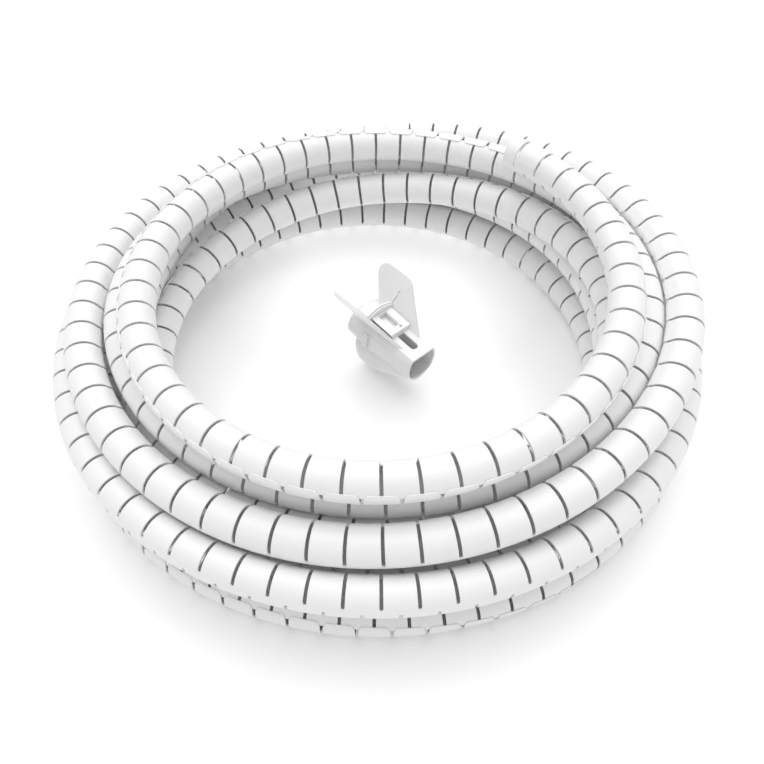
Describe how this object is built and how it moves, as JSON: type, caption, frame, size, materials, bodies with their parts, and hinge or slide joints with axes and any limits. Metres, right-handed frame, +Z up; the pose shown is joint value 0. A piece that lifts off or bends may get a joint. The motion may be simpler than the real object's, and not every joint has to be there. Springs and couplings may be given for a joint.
{
  "type": "slit cable tube with threading tool",
  "caption": "Coil of flexible slit plastic tube that wraps around cables, with a clip-open threading tool lying in the middle.",
  "frame": {"origin": "middle of the coil's outline, on the floor it lies on", "axes": "+Z up, -Y towards the front of the coil, +X to the right seen from the front"},
  "size_m": [0.4182, 0.4189, 0.1175],
  "materials": {
    "tube": "satin",
    "tool": "satin"
  },
  "bodies": {
    "coil": {"coil_turn_1": "tube", "coil_turn_2": "tube", "coil_turn_3": "tube", "coil_turn_4": "tube", "coil_turn_5": "tube", "coil_turn_6": "tube", "coil_turn_7": "tube", "coil_turn_8": "tube", "coil_turn_9": "tube", "coil_tail": "tube"},
    "end_rib_1": {"end_rib_1": "tube"},
    "end_rib_2": {"end_rib_2": "tube"},
    "end_rib_3": {"end_rib_3": "tube"},
    "end_rib_4": {"end_rib_4": "tube"},
    "end_rib_5": {"end_rib_5": "tube"},
    "end_rib_6": {"end_rib_6": "tube"},
    "tool_left": {"tool_left_half": "tool"},
    "tool_right": {"tool_right_half": "tool"},
    "tool_flap": {"tool_latch": "tool"}
  },
  "joints": [
    {"name": "end_bend_6", "type": "hinge", "parent": "coil", "child": "end_rib_6", "pos_m": [0.13409, 0.01392, 0.10159], "axis": [-0.412, -0.0956, 0.9062], "range_deg": [-4, 6]},
    {"name": "end_bend_5", "type": "hinge", "parent": "end_rib_6", "child": "end_rib_5", "pos_m": [0.12957, 0.03061, 0.10181], "axis": [-0.397, -0.1455, 0.9062], "range_deg": [-4, 6]},
    {"name": "end_bend_4", "type": "hinge", "parent": "end_rib_5", "child": "end_rib_4", "pos_m": [0.12296, 0.04657, 0.10199], "axis": [-0.376, -0.1933, 0.9062], "range_deg": [-4, 6]},
    {"name": "end_bend_3", "type": "hinge", "parent": "end_rib_4", "child": "end_rib_3", "pos_m": [0.11437, 0.06153, 0.10213], "axis": [-0.3492, -0.2382, 0.9063], "range_deg": [-4, 6]},
    {"name": "end_bend_2", "type": "hinge", "parent": "end_rib_3", "child": "end_rib_2", "pos_m": [0.10397, 0.07525, 0.10223], "axis": [-0.317, -0.2795, 0.9063], "range_deg": [-4, 6]},
    {"name": "end_bend_1", "type": "hinge", "parent": "end_rib_2", "child": "end_rib_1", "pos_m": [0.09191, 0.08752, 0.1023], "axis": [-0.28, -0.3166, 0.9063], "range_deg": [-4, 6]},
    {"name": "tool_lift", "type": "slide", "parent": "coil", "child": "tool_left", "axis": [0, 0, 1], "range_m": [0, 0.15]},
    {"name": "tool_open", "type": "hinge", "parent": "tool_left", "child": "tool_right", "pos_m": [0.00014, -0.00017, 0.00063], "axis": [0.6675, -0.7413, -0.0698], "range_deg": [0, 10]},
    {"name": "latch_lift", "type": "hinge", "parent": "tool_left", "child": "tool_flap", "pos_m": [0.01361, 0.00057, 0.05003], "axis": [-0.6675, 0.7413, 0.0698], "range_deg": [0, 90]}
  ],
  "couplings": [
    {"joint": "end_bend_1", "follows": "end_bend_6", "ratio": 1},
    {"joint": "end_bend_2", "follows": "end_bend_6", "ratio": 1},
    {"joint": "end_bend_3", "follows": "end_bend_6", "ratio": 1},
    {"joint": "end_bend_4", "follows": "end_bend_6", "ratio": 1},
    {"joint": "end_bend_5", "follows": "end_bend_6", "ratio": 1},
    {"joint": "latch_lift", "follows": "tool_open", "ratio": 9}
  ]
}
